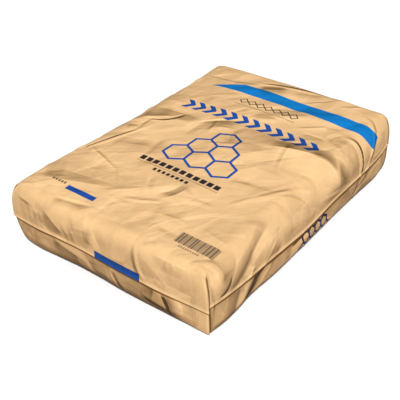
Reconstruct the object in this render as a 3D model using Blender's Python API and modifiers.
"""A filled cement bag: one paper sack with folded block ends, lying on its broad side.

Metres, +Z up. +Y points to the head of the bag and +X to the right of its printed face.
The origin is on the floor under the middle of the bag.
"""

import math

import bmesh
import bpy
from mathutils import Vector

# Driving dimensions of the filled sack, at the line of its folded seam
SACK_LENGTH = 0.510
SACK_WIDTH = 0.368
FACE_HEIGHT = 0.107
CROWN_RISE = 0.011
SEAM_HEIGHT = 0.048
LIP_DEPTH = 0.003
LIP_EDGE = 0.0006
BASE_EDGE = 0.011

# How far in from the seam line the upper face begins on each side
EDGE_RIGHT = 0.030
EDGE_LEFT = 0.053
EDGE_FOOT = 0.015
EDGE_HEAD = 0.029

# Lattice of the cage that Subdivision Surface smooths
CELLS_ACROSS = 12
CELLS_ALONG = 16
SMOOTH_LEVELS = 1
EDGE_SPREAD = 0.22
SHARP_ANGLE = 40

# Rings above the seam: share of the edge's width out, and of the wall's height up
UPPER_RINGS = [(0.0, 1.0), (0.50, 0.945), (0.80, 0.76), (0.955, 0.44), (1.0, 0.06), (1.0, 0.0)]
# Rings below the lip: share of the base edge's width out, and of the seam's height down
LOWER_RINGS = [(1.0, 0.0), (0.98, 0.42), (0.80, 0.82), (0.35, 1.0)]
RINGS = UPPER_RINGS + LOWER_RINGS
SEAM_RING = len(UPPER_RINGS) - 1
LAST_RING = len(RINGS) - 1

# Swells of the walls halfway along them, outwards, and how the seam sags there
SWELL_RIGHT = 0.0014
SWELL_LEFT = -0.005
SWELL_FOOT = 0.0031
SWELL_HEAD = 0.0022
LOWER_SWELL_RIGHT = 0.0057
LOWER_SWELL_FOOT = 0.0040
SEAM_SAG_RIGHT = 0.0065
SEAM_SAG_FOOT = 0.0046

# The left wall leans in below the seam, and has a waist where the sack is drawn in
LEFT_TAPER = 0.0095
LEFT_WAIST = 0.0046
WAIST_REACH = 0.10

# The head of the face stands a little higher than its left side
HEAD_RISE = 0.0047
LEFT_FALL = 0.0046

# Corners (right or left, head or foot): share of a square corner, and inset of the base
CORNERS = {
    (1, -1): (0.985, -0.0028),
    (-1, -1): (0.93, 0.0033),
    (1, 1): (0.90, 0.0056),
    (-1, 1): (0.92, 0.0040),
}
TOP_CORNER_SHARE = 0.865
CORNER_REACH = 0.07

# The upright corner fold: how sharp it is from each ring to the next, and how proud it stands
FOLD_SHARPNESS = [0.0, 0.0, 0.5, 0.9, 1.0, 1.0, 1.0, 1.0, 0.6]
FOLD_STANDS_PROUD = 0.0012

# Broad hollows and swells of the printed face: centre, reach across and along, height
FACE_FORMS = [
    ((0.095, 0.010), (0.060, 0.075), 0.0035),
    ((-0.115, 0.028), (0.034, 0.022), -0.0040),
    ((0.030, -0.140), (0.045, 0.022), -0.0022),
    ((0.010, 0.205), (0.050, 0.016), -0.0030),
    ((-0.090, -0.190), (0.060, 0.020), -0.0025),
    ((0.030, 0.052), (0.120, 0.016), -0.0020),
]

PAPER_COLOUR = (0.80, 0.56, 0.30, 1.0)
PAPER_ROUGHNESS = 0.75


def clear_scene():
    for old in list(bpy.data.objects):
        bpy.data.objects.remove(old, do_unlink=True)


def kraft_paper():
    material = bpy.data.materials.new("kraft_paper")
    material.use_nodes = True
    shader = material.node_tree.nodes["Principled BSDF"]
    shader.inputs["Base Color"].default_value = PAPER_COLOUR
    shader.inputs["Roughness"].default_value = PAPER_ROUGHNESS
    shader.inputs["Metallic"].default_value = 0.0
    return material


def cut_along(cage, axis, cuts):
    """Cuts every edge of the box that runs along this axis into equal lengths."""
    edges = []
    for edge in cage.edges:
        run = edge.verts[1].co - edge.verts[0].co
        if abs(run[axis]) > 0.5 * run.length:
            edges.append(edge)
    bmesh.ops.subdivide_edges(cage, edges=edges, cuts=cuts, use_grid_fill=True)


def ring_of(unit):
    return round((1 - unit.z) / 2 * LAST_RING)


def spread(share):
    """Moves the lattice lines towards the edges of the bag, where it bends most."""
    return share * (1 + EDGE_SPREAD - EDGE_SPREAD * share * share)


def half_way(share):
    """1 halfway along a wall and 0 at its corners."""
    return max(0.0, 1 - share * share)


def corner_share(unit, ring):
    """How much of a square corner an upright corner fold fills at this ring."""
    if min(abs(unit.x), abs(unit.y)) < 0.99:
        return 1.0
    at_seam = CORNERS[(int(math.copysign(1, unit.x)), int(math.copysign(1, unit.y)))][0]
    down = min(ring / SEAM_RING, 1.0)
    return TOP_CORNER_SHARE + (at_seam - TOP_CORNER_SHARE) * down


def seam_height(across, along):
    sag = SEAM_SAG_RIGHT * half_way(along) * max(across, 0.0) ** 4
    return SEAM_HEIGHT - sag - SEAM_SAG_FOOT * half_way(across) * max(-along, 0.0) ** 4


def face_height(x, y, across, along):
    """Height of the printed face: crowned, tilted a little, with broad hollows and swells."""
    height = FACE_HEIGHT + HEAD_RISE * max(along, 0.0) ** 2 - LEFT_FALL * max(-across, 0.0) ** 2
    height += CROWN_RISE * half_way(across) * half_way(along)
    for (centre_x, centre_y), (reach_x, reach_y), rise in FACE_FORMS:
        away = ((x - centre_x) / reach_x) ** 2 + ((y - centre_y) / reach_y) ** 2
        height += rise * math.exp(-away)
    return height


def upper_point(unit, ring):
    out, up = RINGS[ring]
    side = EDGE_RIGHT if unit.x > 0 else EDGE_LEFT
    end = EDGE_HEAD if unit.y > 0 else EDGE_FOOT
    corner = corner_share(unit, ring)
    on_side = abs(unit.x) > 0.99
    on_end = abs(unit.y) > 0.99
    x = spread(unit.x) * (SACK_WIDTH / 2 - side)
    y = spread(unit.y) * (SACK_LENGTH / 2 - end)
    x += math.copysign(side * out * corner, x) if on_side else 0.0
    y += math.copysign(end * out * corner, y) if on_end else 0.0
    across = 2 * x / SACK_WIDTH
    along = 2 * y / SACK_LENGTH
    swell = 1 - up * up
    side_swell = SWELL_RIGHT if x > 0 else SWELL_LEFT
    end_swell = SWELL_HEAD if y > 0 else SWELL_FOOT
    seam = seam_height(across, along)
    z = seam + (face_height(x, y, across, along) - seam) * up
    x += math.copysign(side_swell * swell * half_way(along) * abs(across) ** 4, x)
    y += math.copysign(end_swell * swell * half_way(across) * abs(along) ** 4, y)
    x += LEFT_WAIST * math.exp(-((y / WAIST_REACH) ** 2)) * max(-across, 0.0) ** 3
    return Vector((x, y, z))


def lower_point(unit, ring):
    out, down = RINGS[ring]
    inset = LIP_DEPTH + BASE_EDGE * (1 - out)
    corner = 1 - (1 - corner_share(unit, LAST_RING)) * 0.3
    x = spread(unit.x) * (SACK_WIDTH / 2 - inset) * corner
    y = spread(unit.y) * (SACK_LENGTH / 2 - inset) * corner
    across = 2 * x / SACK_WIDTH
    along = 2 * y / SACK_LENGTH
    z = seam_height(across, along) * (1 - down) - (LIP_EDGE if down == 0 else 0.0)
    side_swell = SWELL_RIGHT * (1 - down) if x > 0 else SWELL_LEFT * (1 - down)
    end_swell = SWELL_HEAD * (1 - down) if y > 0 else SWELL_FOOT * (1 - down)
    belly = 4 * down * (1 - down)
    side_swell += LOWER_SWELL_RIGHT * belly if x > 0 else 0.0
    end_swell += LOWER_SWELL_FOOT * belly if y < 0 else 0.0
    x += math.copysign(side_swell * half_way(along) * abs(across) ** 4, x)
    y += math.copysign(end_swell * half_way(across) * abs(along) ** 4, y)
    x += LEFT_WAIST * math.exp(-((y / WAIST_REACH) ** 2)) * max(-across, 0.0) ** 3
    x += LEFT_TAPER * down * max(-across, 0.0) ** 2
    for (right, head), (_, base_inset) in CORNERS.items():
        far_x = right * x - SACK_WIDTH / 2
        far_y = head * y - SACK_LENGTH / 2
        near = math.exp(-(far_x**2 + far_y**2) / CORNER_REACH**2) * down
        x -= right * base_inset * near
        y -= head * base_inset * near
    return Vector((x, y, max(z, 0.0)))


def place(unit):
    """The sack point for a point of the cage's box, whose corners are at -1 and 1."""
    ring = ring_of(unit)
    point = upper_point(unit, ring) if ring <= SEAM_RING else lower_point(unit, ring)
    on_corner = min(abs(unit.x), abs(unit.y)) > 0.99
    if on_corner and 0 < ring < LAST_RING:
        proud = FOLD_STANDS_PROUD * FOLD_SHARPNESS[ring]
        point.x += math.copysign(proud, point.x)
        point.y += math.copysign(proud, point.y)
    return point


def set_creases(cage):
    """Keeps the lip of the seam and the upright corner folds sharp."""
    crease = cage.edges.layers.float.new("crease_edge")
    for edge in cage.edges:
        ends = [vertex.co for vertex in edge.verts]
        rings = sorted(ring_of(end) for end in ends)
        on_wall = all(max(abs(end.x), abs(end.y)) > 0.99 for end in ends)
        on_corner = all(min(abs(end.x), abs(end.y)) > 0.99 for end in ends)
        if on_wall and rings[0] == rings[1] and rings[0] in (SEAM_RING, SEAM_RING + 1):
            edge[crease] = 1.0
        elif on_corner:
            edge[crease] = FOLD_SHARPNESS[rings[0]]


def make_sack(collection, material):
    """The sack and its filling as one solid, because the real sack is one folded paper piece."""
    cage = bmesh.new()
    bmesh.ops.create_cube(cage, size=2.0)
    cut_along(cage, 0, CELLS_ACROSS - 1)
    cut_along(cage, 1, CELLS_ALONG - 1)
    cut_along(cage, 2, LAST_RING - 1)
    set_creases(cage)
    for vertex in cage.verts:
        vertex.co = place(vertex.co)
    mesh = bpy.data.meshes.new("paper_sack")
    cage.to_mesh(mesh)
    cage.free()
    mesh.shade_smooth()
    mesh.set_sharp_from_angle(angle=math.radians(SHARP_ANGLE))
    sack = bpy.data.objects.new("paper_sack", mesh)
    sack.data.materials.append(material)
    smooth = sack.modifiers.new("smooth_paper", "SUBSURF")
    smooth.levels = SMOOTH_LEVELS
    smooth.render_levels = SMOOTH_LEVELS
    collection.objects.link(sack)
    return sack


def main():
    clear_scene()
    collection = bpy.data.collections.new("cement_bag")
    bpy.context.scene.collection.children.link(collection)
    make_sack(collection, kraft_paper())


main()
